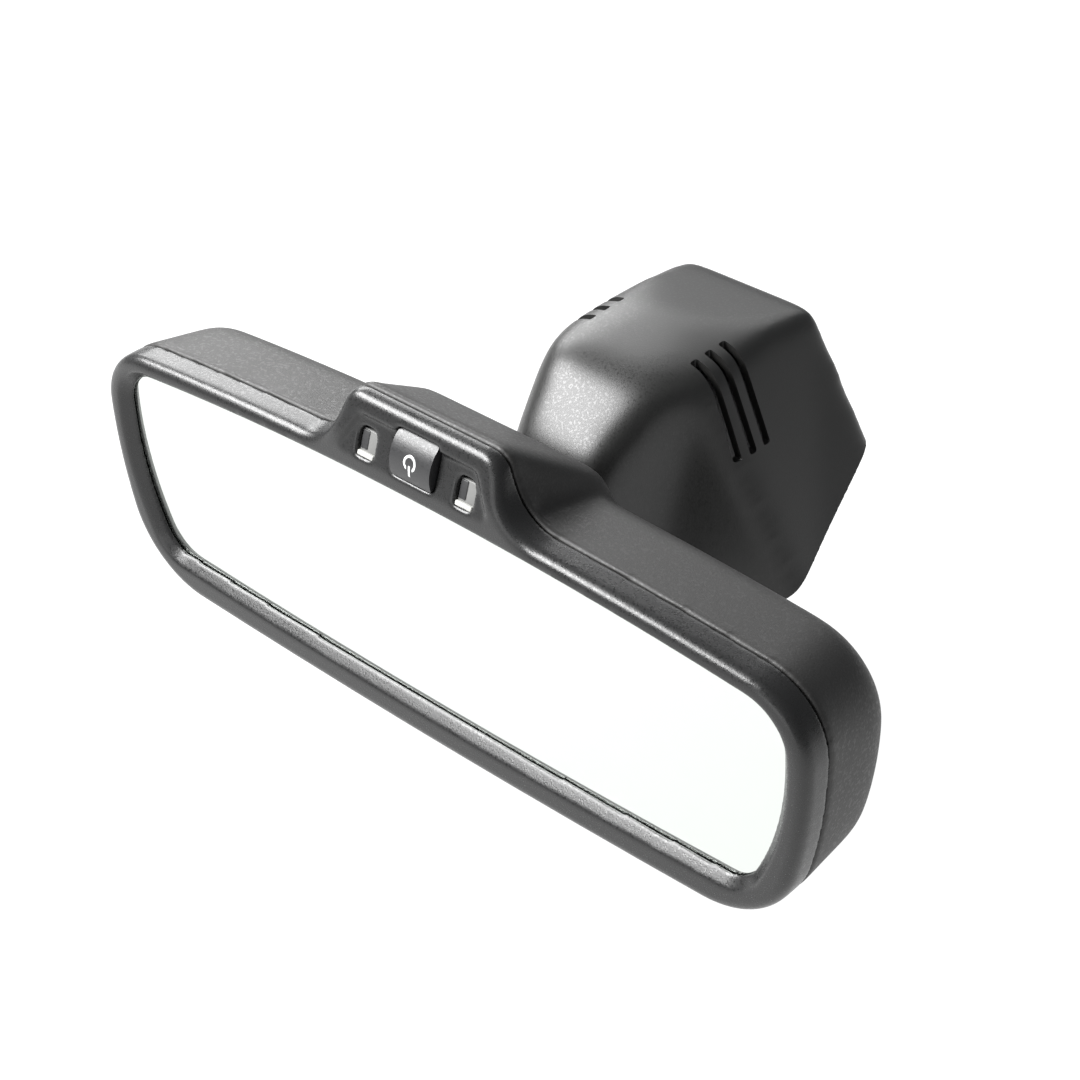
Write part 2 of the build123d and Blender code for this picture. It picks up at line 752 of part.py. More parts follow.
with BuildPart() as switch_body:
    with BuildSketch(head_plane(board_front)):
        with Locations((0, button_middle)):
            RectangleRounded(switch_size, switch_size, 0.5)
    extrude(amount=switch_height)
    with BuildSketch(head_plane(switch_front)):
        with Locations((0, button_middle)):
            Circle(plunger_r + plunger_fit)
    extrude(amount=-(plunger_reach + button_travel + 2 * part_fit), mode=Mode.SUBTRACT)
save(switch_body, "switch_body")


# ---- Button ---------------------------------------------------------------------------------------
with BuildSketch() as power_symbol:
    with Locations((0, button_middle)):
        Circle(symbol_r)
        Circle(symbol_r - symbol_line, mode=Mode.SUBTRACT)
        with Locations((0, -symbol_r)):
            Rectangle(3 * symbol_line, symbol_bar, mode=Mode.SUBTRACT)
            Rectangle(symbol_line, symbol_bar)

with BuildPart() as button_symbol:
    extrude(at_depth(power_symbol.sketch, cap_back), amount=button_skirt + 2 * button_crown)
    add(cap_form(symbol_proud), mode=Mode.INTERSECT)
    add(cap_form(-symbol_sheet), mode=Mode.SUBTRACT)
save(button_symbol, "button_symbol")

with BuildPart() as power_button:
    add(cap_form())
    fillet(power_button.edges().filter_by(Axis.Y), button_corner_r)
    with BuildSketch(head_plane(cavity_front + part_fit)):
        with Locations((0, button_middle)):
            Rectangle(button_width + 2 * button_flange, button_height - 2 * button_corner_r)
    extrude(amount=-button_flange_sheet)
    add(button_symbol.part, mode=Mode.SUBTRACT)
save(power_button, "power_button")

with BuildPart() as switch_plunger:
    with BuildSketch(head_plane(cap_back)):
        with Locations((0, button_middle)):
            Circle(plunger_r)
    extrude(amount=cap_back - plunger_end)
save(switch_plunger, "switch_plunger")


# ---- Ball joint -----------------------------------------------------------------------------------
with BuildPart() as ball_socket:
    with BuildSketch(head_plane(carrier_back)):
        with Locations((0, ball_rise)):
            Circle(socket_flange_r)
        with Locations(*socket_screws_at):
            Circle(socket_screw_r + part_fit, mode=Mode.SUBTRACT)
    extrude(amount=-socket_flange_sheet)
    add(cup(socket_inner, socket_outer))
    with Locations(ball_centre):
        Sphere(socket_inner, mode=Mode.SUBTRACT)
save(ball_socket, "ball_socket")

save(screw(head_plane(flange_back).rotated((180, 0, 0)), screw_head_r, screw_head_height, socket_screw_r,
           socket_flange_sheet + carrier_sheet - screw_short,
           [(x, -y) for x, y in socket_screws_at]), "socket_screws")

with BuildPart() as socket_liner:
    add(cup(liner_inner, liner_outer))
save(socket_liner, "socket_liner")

with BuildPart() as clamp_spring:
    add(cup(clamp_inner, clamp_outer))
    with BuildSketch(Plane(origin=ball_centre, x_dir=(1, 0, 0), z_dir=(0, 1, 0))):
        Rectangle(3 * clamp_outer, clamp_slot)
        Rectangle(clamp_slot, 3 * clamp_outer)
    extrude(amount=clamp_outer, mode=Mode.SUBTRACT)
save(clamp_spring, "clamp_spring")

with BuildPart() as ball_stem:
    with Locations(ball_centre):
        Sphere(ball_r)
    boss_front = boss_reach - boss_length / 2
    boss_rear = boss_reach + boss_length / 2
    with BuildSketch(ball_axis):
        Circle(neck_r)
    extrude(amount=-boss_front)
    with BuildSketch(ball_axis.offset(collar_sheet - boss_front)):
        Circle(collar_r)
    extrude(amount=-collar_sheet)
    with BuildSketch(ball_axis.offset(-boss_front)):
        Circle(stem_r)
    extrude(amount=-boss_length + 1)
    with BuildSketch(ball_axis.offset(-boss_front)):
        Circle(thread_r)
    extrude(amount=-boss_length - nut_sheet - 1)
    fillet(ball_stem.edges().filter_by(GeomType.CIRCLE).group_by(Axis.Y)[-1], 0.6)
save(ball_stem, "ball_stem")

with BuildPart() as stem_nut:
    with BuildSketch(ball_axis.offset(-boss_rear)):
        RegularPolygon(nut_across / 2, 6, major_radius=False)
        Circle(thread_r + stem_fit, mode=Mode.SUBTRACT)
    extrude(amount=-nut_sheet)
save(stem_nut, "stem_nut")


# ---- Mount foot -----------------------------------------------------------------------------------
frame_screws_at = [(frame_screw_pcd / 2 * cos(radians(90 + 360 / frame_screw_count * i)),
                    frame_screw_pcd / 2 * sin(radians(90 + 360 / frame_screw_count * i)))
                   for i in range(frame_screw_count)]
column_length = (ball_centre.Z / cos(radians(screen_angle))) - foot_height

with BuildPart() as mount_foot:
    with BuildSketch(screen_plane(0)):
        Circle(foot_r)
    extrude(amount=-foot_height)
    fillet(mount_foot.faces().sort_by(plane_axis(screen_plane(0)))[0].edges(), 1.5)
    with BuildSketch(screen_plane(foot_height)):
        Circle(column_r)
    extrude(amount=-column_length)
    with BuildSketch(Plane(origin=(0, boss_y, ball_centre.Z), x_dir=(1, 0, 0), z_dir=(0, 1, 0))):
        Circle(boss_r)
    extrude(amount=boss_length / 2, both=True)
    with BuildSketch(Plane(origin=(0, boss_y, ball_centre.Z), x_dir=(1, 0, 0), z_dir=(0, 1, 0))):
        Circle(stem_r + stem_fit)
    extrude(amount=boss_length / 2, both=True, mode=Mode.SUBTRACT)
    for end in (-1, 1):
        with BuildSketch(Plane(origin=(0, boss_y + end * boss_length / 2, ball_centre.Z), z_dir=(0, end, 0))):
            Circle(boss_r)
        extrude(amount=boss_length, mode=Mode.SUBTRACT)
    with BuildSketch(screen_plane(0)):
        Circle(button_socket_r)
    extrude(amount=-button_socket_depth, mode=Mode.SUBTRACT)
    with BuildSketch(screen_plane(button_socket_depth)):
        Circle(leaf_pocket_r)
    extrude(amount=-leaf_pocket_depth, mode=Mode.SUBTRACT)
    side_hole_at = screen_plane(button_socket_depth / 2).origin
    with BuildSketch(Plane(origin=side_hole_at, x_dir=(0, 1, 0), z_dir=(1, 0, 0))):
        Circle(foot_screw_r)
    extrude(amount=foot_r, mode=Mode.SUBTRACT)
    with BuildSketch(screen_plane(foot_height)):
        with Locations(*frame_screws_at):
            Circle(frame_screw_r)
    extrude(amount=frame_screw_length - frame_sheet, mode=Mode.SUBTRACT)
save(mount_foot, "mount_foot")

with BuildPart() as foot_leaf:
    with BuildSketch(screen_plane(button_socket_depth + part_fit)):
        Circle(leaf_pocket_r - part_fit)
        Circle(leaf_hole_r, mode=Mode.SUBTRACT)
    extrude(amount=-leaf_sheet)
save(foot_leaf, "foot_leaf")

with BuildPart() as foot_screw:
    side = Plane(origin=screen_plane(button_socket_depth / 2).origin + Vector(foot_r - 0.2, 0, 0),
                 x_dir=(0, 1, 0), z_dir=(1, 0, 0))
    with BuildSketch(side):
        Circle(foot_screw_r - stem_fit)
    extrude(amount=-foot_screw_length)
    with BuildSketch(side):
        RegularPolygon(foot_screw_key / 2, 6)
    extrude(amount=-foot_screw_key, mode=Mode.SUBTRACT)
save(foot_screw, "foot_screw")


# ---- Mount cover ----------------------------------------------------------------------------------
with BuildPart() as mount_cover:
    add(cover_form(edge_r=cover_edge_r))
    add(cover_form(cover_wall, rim_extra=2.0), mode=Mode.SUBTRACT)
    with BuildSketch(Plane(origin=(0, nose_y, ball_centre.Z), x_dir=(1, 0, 0), z_dir=(0, 1, 0))):
        Circle(stem_hole_r)
    extrude(amount=stem_hole_r * 1.6, both=True, mode=Mode.SUBTRACT)
    for i in range(slit_count):
        with BuildSketch(Plane.XZ.offset(-(slit_first_y + i * slit_pitch + slit_width / 2))):
            for flip in (-1, 1):
                with Locations((flip * (slit_inner_x + rim_wide / 2), slit_bottom + crest_height / 2)):
                    Rectangle(rim_wide, crest_height)
        extrude(amount=slit_width, mode=Mode.SUBTRACT)
save(mount_cover, "mount_cover")

with BuildPart() as rim_gasket:
    with BuildSketch(screen_plane(0)):
        add(rim_outline(-gasket_overhang))
        add(rim_outline(cover_wall), mode=Mode.SUBTRACT)
    extrude(amount=-cover_glass_gap)
save(rim_gasket, "rim_gasket")

with BuildPart() as cover_frame:
    with BuildSketch(screen_plane(foot_height)):
        Rectangle(2 * rim_wide, 4 * cover_rear)
    extrude(amount=-frame_sheet)
    add(cover_form(cover_wall + frame_gap), mode=Mode.INTERSECT)
    with BuildSketch(screen_plane(foot_height)):
        Circle(column_r + part_fit)
        with Locations(*frame_screws_at):
            Circle(frame_screw_r + part_fit)
    extrude(amount=-frame_sheet, mode=Mode.SUBTRACT)
save(cover_frame, "cover_frame")

save(screw(screen_plane(foot_height + frame_sheet).rotated((180, 0, 0)), screw_head_r, screw_head_height,
           frame_screw_r - stem_fit, frame_screw_length - 0.5,
           [(x, -y) for x, y in frame_screws_at]), "frame_screws")

with BuildPart() as harness_header:
    with BuildSketch(screen_plane(foot_height)):
        with Locations((0, -header_along)):
            Rectangle(header_width, header_height)
    extrude(amount=header_depth)
    chamfer(harness_header.faces().sort_by(plane_axis(screen_plane(0)))[-1].edges(), 0.5)
save(harness_header, "harness_header")

with BuildPart() as header_pins:
    with BuildSketch(screen_plane(foot_height - header_depth)):
        with Locations((0, -header_along)):
            with GridLocations(header_pin_pitch, header_pin_pitch, header_pin_count, 2):
                Rectangle(header_pin, header_pin)
    extrude(amount=header_pin_length)
save(header_pins, "header_pins")
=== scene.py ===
import json
from math import cos, radians, sin

import bpy
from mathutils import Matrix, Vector

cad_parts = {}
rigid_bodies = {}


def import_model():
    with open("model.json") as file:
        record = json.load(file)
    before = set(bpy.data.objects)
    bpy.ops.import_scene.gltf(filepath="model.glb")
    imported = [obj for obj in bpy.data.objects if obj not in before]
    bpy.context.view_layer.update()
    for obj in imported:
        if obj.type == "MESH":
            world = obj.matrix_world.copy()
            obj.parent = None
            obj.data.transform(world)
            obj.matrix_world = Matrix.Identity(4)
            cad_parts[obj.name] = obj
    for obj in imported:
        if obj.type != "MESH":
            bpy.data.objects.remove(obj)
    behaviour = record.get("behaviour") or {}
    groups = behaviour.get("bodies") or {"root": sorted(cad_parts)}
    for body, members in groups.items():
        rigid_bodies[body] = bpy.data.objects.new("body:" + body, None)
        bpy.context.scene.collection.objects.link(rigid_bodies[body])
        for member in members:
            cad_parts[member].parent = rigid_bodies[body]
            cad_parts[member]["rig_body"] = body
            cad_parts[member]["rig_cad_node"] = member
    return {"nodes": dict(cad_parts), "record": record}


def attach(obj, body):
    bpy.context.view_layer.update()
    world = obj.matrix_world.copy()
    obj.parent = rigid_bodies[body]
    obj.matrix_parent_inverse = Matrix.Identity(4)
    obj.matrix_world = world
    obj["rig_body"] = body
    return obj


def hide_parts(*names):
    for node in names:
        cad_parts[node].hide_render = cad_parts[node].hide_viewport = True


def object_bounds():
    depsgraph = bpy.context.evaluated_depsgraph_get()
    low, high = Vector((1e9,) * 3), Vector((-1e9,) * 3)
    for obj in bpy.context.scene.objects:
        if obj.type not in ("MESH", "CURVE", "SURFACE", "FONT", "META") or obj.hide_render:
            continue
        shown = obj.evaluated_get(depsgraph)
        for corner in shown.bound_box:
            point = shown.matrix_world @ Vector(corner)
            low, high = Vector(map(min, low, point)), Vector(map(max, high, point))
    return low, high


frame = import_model()
cad_low, cad_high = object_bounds()
nodes = frame["nodes"]
record = frame["record"]
slot_of = {part["node"]: part["material_slot"] for part in record["subparts"]}
body_of = {node: body for body, members in record["behaviour"]["bodies"].items() for node in members}


# ---- Materials ------------------------------------------------------------------------------------
class Wire:
    """A shader output that can be used in ordinary arithmetic."""

    def __init__(self, shader, socket):
        self.shader = shader
        self.socket = socket

    def math(self, operation, *values):
        return self.shader.node("ShaderNodeMath", {"operation": operation}, dict(enumerate(values)))

    def __add__(self, other):
        return self.math("ADD", self, other)

    def __radd__(self, other):
        return self.math("ADD", other, self)

    def __sub__(self, other):
        return self.math("SUBTRACT", self, other)

    def __mul__(self, other):
        return self.math("MULTIPLY", self, other)

    def __rmul__(self, other):
        return self.math("MULTIPLY", other, self)

    def above(self, level, width):
        """0 below the level and 1 above it, with a soft edge of that width."""
        return self.shader.node(
            "ShaderNodeMapRange", {"interpolation_type": "SMOOTHSTEP"},
            {0: self, 1: level - width / 2, 2: level + width / 2},
        )


class Finish:
    """One material, built from its nodes."""

    def __init__(self, name):
        self.material = bpy.data.materials.new(name)
        self.material.use_nodes = True
        self.tree = self.material.node_tree
        self.surface = self.tree.nodes["Principled BSDF"]
        self.place = self.node("ShaderNodeTexCoord", {}, {}, "Object")

    def put(self, socket, value):
        if isinstance(value, Wire):
            self.tree.links.new(value.socket, socket)
        else:
            socket.default_value = value

    def node(self, kind, settings, values, out=0):
        made = self.tree.nodes.new(kind)
        for setting, value in settings.items():
            setattr(made, setting, value)
        for key, value in values.items():
            self.put(made.inputs[key], value)
        return Wire(self, made.outputs[out])

    def noise(self, size, detail=2.0, roughness=0.5):
        """Noise whose features are about that many metres across."""
        return self.node(
            "ShaderNodeTexNoise", {},
            {"Vector": self.place, "Scale": 1 / size, "Detail": detail, "Roughness": roughness},
        )

    def cells(self, size):
        """The distance from the middle of the nearest cell, for cells of about that size in metres."""
        return self.node("ShaderNodeTexVoronoi", {}, {"Vector": self.place, "Scale": 1 / size}, "Distance")

    def blend(self, amount, first, second):
        return self.node(
            "ShaderNodeMix", {"data_type": "RGBA"}, {0: amount, 6: first, 7: second}, 2,
        )

    def bump(self, height, distance):
        return self.node("ShaderNodeBump", {}, {"Height": height, "Distance": distance, "Strength": 1.0})

    def set(self, **values):
        for name, value in values.items():
            self.put(self.surface.inputs[name.replace("_", " ")], value)
        return self.material


def colour(red, green, blue):
    return (red, green, blue, 1.0)


def scaled(base, factor):
    return colour(*(min(1.0, channel * factor) for channel in base[:3]))


def grained_plastic(name, base, rough, grain, depth, spread):
    """Moulded plastic with a fine leather-like grain, slight cloudiness and small glossier specks."""
    skin = Finish(name)
    pits = skin.cells(grain)
    fine = skin.noise(grain * 0.55, 3.0, 0.6)
    cloud = skin.noise(0.018, 3.0)
    speck = skin.noise(grain * 1.6, 1.0).above(0.60, 0.12)
    height = pits * 0.7 + fine * 0.6
    shade = skin.blend(cloud * 0.5 + pits * 0.4, scaled(base, 0.85), scaled(base, 1.2))
    return skin.set(
        Base_Color=shade, Roughness=rough + spread * (cloud - 0.5) + 0.08 * fine - 0.10 * speck,
        Normal=skin.bump(height, depth), Specular_IOR_Level=0.5, IOR=1.5,
    )


def smooth_plastic(name, base, rough):
    """Moulded plastic from a polished mould."""
    skin = Finish(name)
    cloud = skin.noise(0.012, 3.0)
    fine = skin.noise(0.0006, 2.0)
    shade = skin.blend(cloud, scaled(base, 0.88), scaled(base, 1.12))
    return skin.set(
        Base_Color=shade, Roughness=rough + 0.10 * (cloud - 0.5), Normal=skin.bump(fine, 0.00002),
    )


def metal(name, base, rough, depth):
    """Metal with a fine surface grain of that depth."""
    skin = Finish(name)
    grain = skin.noise(0.0005, 4.0, 0.65)
    cloud = skin.noise(0.009, 2.0)
    shade = skin.blend(cloud, scaled(base, 0.82), scaled(base, 1.1))
    return skin.set(
        Base_Color=shade, Metallic=1.0, Roughness=rough + 0.18 * (grain - 0.5),
        Normal=skin.bump(grain, depth),
    )


def soft_rubber(name, base):
    skin = Finish(name)
    pores = skin.cells(0.0007)
    shade = skin.blend(pores, scaled(base, 0.6), scaled(base, 1.4))
    return skin.set(Base_Color=shade, Roughness=0.85 + 0.1 * pores, Normal=skin.bump(pores, 0.0001))


def clear_gel(name, base):
    skin = Finish(name)
    dust = skin.noise(0.030, 4.0, 0.6)
    return skin.set(Base_Color=base, Roughness=0.02 * dust, Transmission_Weight=1.0, IOR=1.5)


def frosted(name, base, clearness):
    skin = Finish(name)
    cloud = skin.noise(0.003, 3.0)
    shade = skin.blend(cloud, scaled(base, 0.85), base)
    return skin.set(
        Base_Color=shade, Roughness=0.35 + 0.2 * cloud, Transmission_Weight=clearness, IOR=1.45,
    )


def silvering(name, base):
    """A silvered surface: a clean mirror with a very slight haze."""
    skin = Finish(name)
    haze = skin.noise(0.05, 4.0, 0.55)
    shade = skin.blend(haze, scaled(base, 0.98), base)
    return skin.set(Base_Color=shade, Metallic=1.0, Roughness=0.02 + 0.03 * haze)


def green_board(name, base):
    skin = Finish(name)
    tracks = skin.cells(0.0022).above(0.46, 0.05)
    shade = skin.blend(tracks, base, scaled(base, 1.7))
    return skin.set(Base_Color=shade, Roughness=0.28 + 0.1 * tracks, Normal=skin.bump(tracks, 0.00004))


finishes = {
    "bezel": grained_plastic("bezel_black", colour(0.011, 0.011, 0.0112), 0.29, 0.00045, 0.000025, 0.04),
    "housing": grained_plastic("housing_black", colour(0.019, 0.0185, 0.018), 0.50, 0.0006, 0.00004, 0.06),
    "cover": grained_plastic("cover_black", colour(0.014, 0.014, 0.0135), 0.36, 0.0004, 0.000012, 0.05),
    "front_glass": silvering("silvered_glass", colour(0.740, 0.770, 0.742)),
    "gel": clear_gel("gel_clear", colour(0.96, 0.985, 0.97)),
    "mirror": silvering("silvering", colour(0.93, 0.955, 0.94)),
    "seal": soft_rubber("seal_black", colour(0.02, 0.02, 0.02)),
    "clip_metal": metal("clip_tin", colour(0.72, 0.70, 0.66), 0.35, 0.00002),
    "foam": soft_rubber("foam_grey", colour(0.08, 0.08, 0.08)),
    "carrier": smooth_plastic("carrier_grey", colour(0.05, 0.05, 0.052), 0.55),
    "board": green_board("board_green", colour(0.02, 0.12, 0.05)),
    "chip": smooth_plastic("chip_black", colour(0.02, 0.02, 0.021), 0.5),
    "connector": smooth_plastic("connector_nylon", colour(0.62, 0.60, 0.52), 0.45),
    "light_pipe": frosted("light_pipe_frosted", colour(0.20, 0.20, 0.195), 0.1),
    # A light grey finish for the block at each window's bottom: a painted reflection of light off the
    # clear lens.
    "painted_reflection_ledge": smooth_plastic("painted_reflection_grey", colour(0.42, 0.42, 0.40), 0.45),
    "led": frosted("led_resin", colour(0.6, 0.75, 0.55), 0.3),
    "button": grained_plastic("button_grey", colour(0.024, 0.024, 0.025), 0.36, 0.0004, 0.00002, 0.04),
    "symbol": smooth_plastic("symbol_print", colour(0.62, 0.63, 0.63), 0.4),
    "plunger": smooth_plastic("plunger_white", colour(0.7, 0.7, 0.68), 0.4),
    "liner": smooth_plastic("liner_acetal", colour(0.72, 0.70, 0.64), 0.35),
    "spring_steel": metal("spring_steel", colour(0.50, 0.50, 0.51), 0.32, 0.00002),
    "steel": metal("zinc_steel", colour(0.62, 0.62, 0.63), 0.30, 0.00002),
    "foot": metal("cast_alloy", colour(0.48, 0.48, 0.49), 0.48, 0.00006),
    "gasket": soft_rubber("gasket_foam", colour(0.02, 0.02, 0.02)),
    "pins": metal("pin_brass", colour(0.75, 0.62, 0.33), 0.28, 0.00002),
}


def dress(piece, slot):
    piece.data.materials.clear()
    piece.data.materials.append(finishes[slot])


for name, node in nodes.items():
    dress(node, slot_of[name])


# ---- Working on one piece -------------------------------------------------------------------------
def alone(piece):
    """Select only this piece, in object mode."""
    if bpy.context.object and bpy.context.object.mode == "EDIT":
        bpy.ops.object.mode_set(mode="OBJECT")
    bpy.ops.object.select_all(action="DESELECT")
    piece.select_set(True)
    bpy.context.view_layer.objects.active = piece


def settle(piece):
    """Put the piece's place, turn and size into its mesh."""
    alone(piece)
    bpy.ops.object.transform_apply(location=True, rotation=True, scale=True)


def apply(piece, kind, **settings):
    """Add a modifier with these settings and apply it."""
    alone(piece)
    modifier = piece.modifiers.new(kind.lower(), kind)
    for setting, value in settings.items():
        setattr(modifier, setting, value)
    bpy.ops.object.modifier_apply(modifier=modifier.name)


def smooth_below(piece, crease):
    """Shade faces smooth where they meet at less than that many degrees."""
    alone(piece)
    bpy.ops.object.shade_smooth_by_angle(angle=radians(crease))


def block_at(place, size, edge, segments, turn=(0, 0, 0)):
    """A block with its edges rounded, its size and turn put into its mesh."""
    bpy.ops.object.select_all(action="DESELECT")
    bpy.ops.mesh.primitive_cube_add(size=1.0, location=place, rotation=turn, scale=size)
    block = bpy.context.object
    settle(block)
    apply(block, "BEVEL", width=edge, segments=segments)
    return block


def ramp(value, low, high):
    """0 up to low and 1 from high on."""
    return min(1.0, max(0.0, (value - low) / (high - low)))


def soften(shell, passes, weight_at):
    """Relax a mesh, as much at each point as weight_at says, from 0 to 1."""
    group = shell.vertex_groups.new(name="soft")
    for corner in shell.data.vertices:
        group.add([corner.index], weight_at(corner.co), "REPLACE")
    apply(shell, "SMOOTH", factor=0.5, iterations=passes, vertex_group="soft")


# ---- Pieces that stand for CAD nodes --------------------------------------------------------------
doubles_apart = 0.000002
copy_crease = 30.0


def merged_copy(node, name):
    """A new piece in the shape of a CAD node, its doubles merged and its curved faces smooth."""
    piece = nodes[node].copy()
    piece.data = nodes[node].data.copy()
    piece.name = name
    piece.parent = None
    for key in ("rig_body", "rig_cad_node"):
        if key in piece:
            del piece[key]
    bpy.context.scene.collection.objects.link(piece)
    alone(piece)
    bpy.ops.object.mode_set(mode="EDIT")
    bpy.ops.mesh.select_all(action="SELECT")
    bpy.ops.mesh.remove_doubles(threshold=doubles_apart)
    bpy.ops.object.mode_set(mode="OBJECT")
    if piece.data.has_custom_normals:
        bpy.ops.mesh.customdata_custom_splitnormals_clear()
    smooth_below(piece, copy_crease)
    return piece


def stand_for(piece, node):
    """Let the piece take the node's place, with its finish and on its body."""
    dress(piece, slot_of[node])
    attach(piece, body_of[node])
    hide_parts(node)


for node, name in (
    ("power_button", "button_cap"), ("ball_socket", "socket_cup"), ("ball_stem", "stem_with_ball"),
    ("mount_foot", "foot_casting"), ("cover_frame", "frame_plate"),
):
    stand_for(merged_copy(node, name), node)


# ---- Mount cover ----------------------------------------------------------------------------------
# The plane of the windscreen side, where the cover ends. Its rim stands slightly back from the screen.
screen_tilt = radians(27.5)
rim_outward = Vector((0, sin(screen_tilt), -cos(screen_tilt)))
rim_setback = 0.0008

# Corners of the right half, from the rear to the front: at the rim and at the crest.
rim_corners = ((0.0403, 0.0553, 0.0295), (0.0508, 0.0085, 0.0053), (0.0142, -0.0318, -0.0150))
crest_corners = ((0.0192, 0.0500, 0.074), (0.0218, -0.0040, 0.074), (0.0145, -0.0385, 0.074))
# The walls first run on past the rim by this share of their height, so that the rim can be cut clean.
past_rim = 0.22

# Cuts that shape the top: a point on each, how many degrees it falls, and which way in x and y.
top_cuts = (
    ((0, -0.0090, 0.0728), 41.0, (0, -1)),
    ((0, -0.0310, 0.0535), 58.0, (0, -1)),
    ((0, 0.018, 0.0712), 8.0, (0, 1)),
    ((0, 0.012, 0.0712), 3.5, (0, -1)),
    ((-0.009, 0.016, 0.0712), 9.0, (-1, 0)),
    ((0.009, 0.016, 0.0712), 9.0, (1, 0)),
)

# The form is relaxed fully in front of full_relax_y. Behind less_relax_y it is relaxed less, by less_by.
cover_grid = 0.0015
cover_passes = 170
full_relax_y = -0.010
less_relax_y = 0.014
less_by = 0.6
cover_wall = 0.0022
cover_crease = 35.0

stem_hole_middle = (0, -0.0354, 0.0307)
stem_hole_size = (0.022, 0.03, 0.022)
stem_hole_edge = 0.0109
stem_hole_segments = 12

# The slits of one side, counted from the front one.
slit_count = 3
slit_spacing = 0.0058
slit_aside = 0.0383
slit_front_y = 0.00365
slit_height = 0.0645
slit_size = (0.042, 0.0027, 0.040)
slit_edge = 0.0007
slit_segments = 3


def move_corner(piece, index, place):
    """Move one corner of a mesh to its place."""
    bpy.ops.mesh.select_all(action="DESELECT")
    bpy.ops.object.mode_set(mode="OBJECT")
    corner = piece.data.vertices[index]
    corner.select = True
    step = Vector(place) - corner.co
    bpy.ops.object.mode_set(mode="EDIT")
    bpy.ops.transform.translate(value=step)


def cut_off(point, outward, close):
    """Cut away what lies beyond a plane, and close the cut or leave it open."""
    bpy.ops.mesh.select_all(action="SELECT")
    bpy.ops.mesh.bisect(plane_co=point, plane_no=outward, use_fill=close, clear_outer=True)


def cover_form():
    """The cover as a closed solid with flat faces: six corners around, cut to its top."""
    bpy.ops.object.select_all(action="DESELECT")
    bpy.ops.mesh.primitive_cylinder_add(vertices=6, radius=0.04, depth=0.08, location=(0, 0, 0))
    form = bpy.context.object
    form.name = "cover_shell"
    bpy.ops.object.mode_set(mode="EDIT")
    bpy.ops.mesh.select_mode(type="VERT")
    around = ((1, 0), (1, 1), (1, 2), (-1, 2), (-1, 1), (-1, 0))
    for step, (side, corner) in enumerate(around):
        low = Vector(rim_corners[corner])
        high = Vector(crest_corners[corner])
        low = low + (low - high) * past_rim
        move_corner(form, 2 * step, (side * low.x, low.y, low.z))
        move_corner(form, 2 * step + 1, (side * high.x, high.y, high.z))
    bpy.ops.mesh.select_all(action="SELECT")
    bpy.ops.mesh.normals_make_consistent(inside=False)
    for point, fall, (aside, back) in top_cuts:
        lean = radians(fall)
        cut_off(point, (aside * sin(lean), back * sin(lean), cos(lean)), True)
    bpy.ops.object.mode_set(mode="OBJECT")
    return form


def make_cover():
    cover = cover_form()
    apply(cover, "REMESH", mode="VOXEL", voxel_size=cover_grid)
    soften(cover, cover_passes, lambda place: 1.0 - less_by * ramp(place.y, full_relax_y, less_relax_y))
    apply(cover, "SUBSURF", levels=1, render_levels=1)
    alone(cover)
    bpy.ops.object.mode_set(mode="EDIT")
    cut_off(rim_outward * -rim_setback, rim_outward, False)
    bpy.ops.object.mode_set(mode="OBJECT")
    apply(cover, "SOLIDIFY", thickness=cover_wall, offset=-1.0, use_even_offset=True)
    cutters = [block_at(stem_hole_middle, stem_hole_size, stem_hole_edge, stem_hole_segments)]
    for side in (-1, 1):
        for step in range(slit_count):
            middle = (side * slit_aside, slit_front_y + step * slit_spacing, slit_height)
            cutters.append(block_at(middle, slit_size, slit_edge, slit_segments))
    for cutter in cutters:
        apply(cover, "BOOLEAN", object=cutter, operation="DIFFERENCE", solver="EXACT")
        bpy.data.objects.remove(cutter)
    smooth_below(cover, cover_crease)
    return cover


stand_for(make_cover(), "mount_cover")


# ---- Head shells ----------------------------------------------------------------------------------
# Each shell stays sharp at the seam between them and is soft from a short way off it.
seam_y = -0.075
housing_sharp = 0.0015
housing_soft = 0.006
housing_grid = 0.0010
housing_passes = 60
bezel_soft = 0.001
bezel_grid = 0.00055
bezel_passes = 14
shell_crease = 60.0


def softened(node, name, grid, passes, weight_at):
    """A CAD shell with its edges softened, as much at each point as weight_at says, from 0 to 1."""
    shell = merged_copy(node, name)
    apply(shell, "REMESH", mode="VOXEL", voxel_size=grid)
    soften(shell, passes, weight_at)
    smooth_below(shell, shell_crease)
    return shell


def behind_seam(place):
    return ramp(place.y, seam_y + housing_sharp, seam_y + housing_soft)


def before_seam(place):
    return ramp(-place.y, -seam_y, -seam_y + bezel_soft)


housing = softened("rear_housing", "housing_shell", housing_grid, housing_passes, behind_seam)
stand_for(housing, "rear_housing")
bezel = softened("front_bezel", "bezel_shell", bezel_grid, bezel_passes, before_seam)
stand_for(bezel, "front_bezel")


# ---- Windows in the chin --------------------------------------------------------------------------
chin_lean = radians(20.0)
panel_out = Vector((0, -cos(chin_lean), sin(chin_lean)))
panel_up = Vector((0, sin(chin_lean), cos(chin_lean)))
window_middle = Vector((0, -0.0820, 0.0725))
window_crease = 35.0
window_segments = 3

# The blocks in one window: how far right, up and sunk below the panel, size, edge and finish.
window_blocks = {
    "lens": (0, 0, 0.0013, (0.0058, 0.006, 0.0074), 0.0005, "light_pipe"),
    # This light grey block is a painted reflection: it stands for the light the clear lens reflects at the
    # bottom of the window.
    "painted_reflection_ledge": (0, -0.0029, 0.0004, (0.0056, 0.003, 0.0014), 0.0004, "painted_reflection_ledge"),
    # This dark block is painted shade: a black block at the window's upper left, standing for the shadowed
    # wall of the pocket.
    "painted_shade_block": (-0.0014, 0.0008, 0.0011, (0.0026, 0.002, 0.0052), 0.0004, "chip"),
}


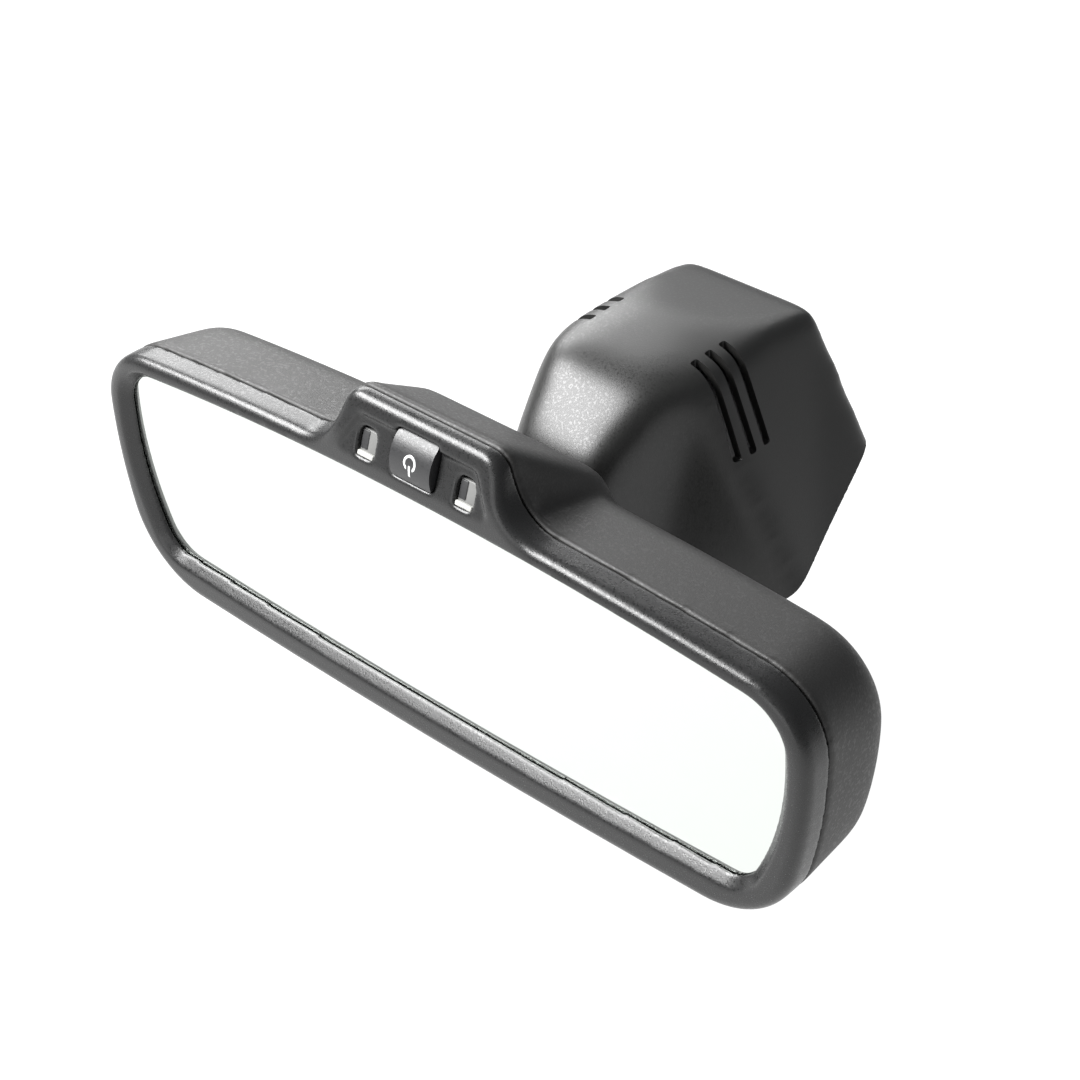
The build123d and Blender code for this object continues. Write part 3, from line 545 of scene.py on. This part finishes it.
def window_block(name, x, right, up, sunk, size, edge):
    """A soft-edged block in the window at x."""
    front = window_middle + Vector((x + right, 0, 0)) + panel_up * up - panel_out * sunk
    block = block_at(front - panel_out * size[1] / 2, size, edge, window_segments, (-chin_lean, 0, 0))
    block.name = name
    smooth_below(block, window_crease)
    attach(block, "head")
    return block


for label, node, x in (("status", "status_light_pipe", -0.017), ("sensor", "glare_sensor_window", 0.017)):
    for kind, (right, up, sunk, size, edge, finish) in window_blocks.items():
        block = window_block(f"{label}_{kind}", x, right, up, sunk, size, edge)
        dress(block, finish)
        if kind == "lens":
            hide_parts(node)


# ---- Floor, lights and camera ---------------------------------------------------------------------
# The floor lies low enough for the tilted head. It glows white near the object and greyer far from it: a
# painted glow, which also lights the object from below and fills in its shadow on the floor.
floor_drop = 0.045
floor_size = 8.0
fade_middle = 0.95
fade_width = 0.9
near_glow = colour(1, 1, 1)
far_glow = colour(0.45, 0.45, 0.45)

bpy.ops.object.select_all(action="DESELECT")
bpy.ops.mesh.primitive_plane_add(size=floor_size, location=(0, 0, cad_low.z - floor_drop))
floor = bpy.context.object
floor.name = "studio_floor"
paper = Finish("studio_paper")
away = paper.node("ShaderNodeVectorMath", {"operation": "LENGTH"}, {0: paper.place}, "Value")
# The emission is painted light: a glow that washes out the object's shadow and is brightest around the
# object.
floor.data.materials.append(paper.set(
    Base_Color=paper.blend(paper.noise(0.4), colour(0.14, 0.14, 0.14), colour(0.16, 0.16, 0.16)),
    Roughness=0.9, Specular_IOR_Level=0.1, Emission_Strength=0.95,
    Emission_Color=paper.blend(away.above(fade_middle, fade_width), near_glow, far_glow),
))

world = bpy.data.worlds.new("studio_air")
bpy.context.scene.world = world
world.use_nodes = True
air = world.node_tree.nodes["Background"]
air.inputs["Color"].default_value = colour(0.93, 0.95, 0.97)
air.inputs["Strength"].default_value = 0.27
bpy.context.scene.view_settings.view_transform = "Standard"


def softbox(name, towards, distance, width, height, power):
    """A rectangular light at that direction and distance from the object, facing it."""
    middle = (cad_low + cad_high) / 2
    direction = Vector(towards).normalized()
    bpy.ops.object.light_add(type="AREA", location=middle + direction * distance)
    lamp = bpy.context.object
    lamp.name = name
    lamp.rotation_euler = direction.to_track_quat("Z", "Y").to_euler()
    lamp.data.shape = "RECTANGLE"
    lamp.data.size = width
    lamp.data.size_y = height
    lamp.data.energy = power


softbox("key_light", (-0.56, -0.48, 0.68), 0.9, 0.80, 0.36, 25.0)
softbox("back_light", (-0.80, 0.45, 0.45), 1.2, 0.6, 0.5, 8.0)
softbox("rear_light", (-0.40, 0.75, 0.50), 1.3, 0.9, 0.5, 3.2)
softbox("front_fill", (0.1, -1.0, 0.12), 1.3, 0.9, 0.6, 3.5)

bpy.ops.object.camera_add(location=(0.3582, -0.4099, 0.4032))
camera = bpy.context.object
camera.name = "studio_camera"
camera.data.lens = 80.0
camera.data.sensor_width = 36.0
camera.rotation_euler = (radians(53.874), radians(1.854), radians(42.622))
camera.data.clip_start = 0.01
camera.data.clip_end = 20.0
bpy.context.scene.camera = camera
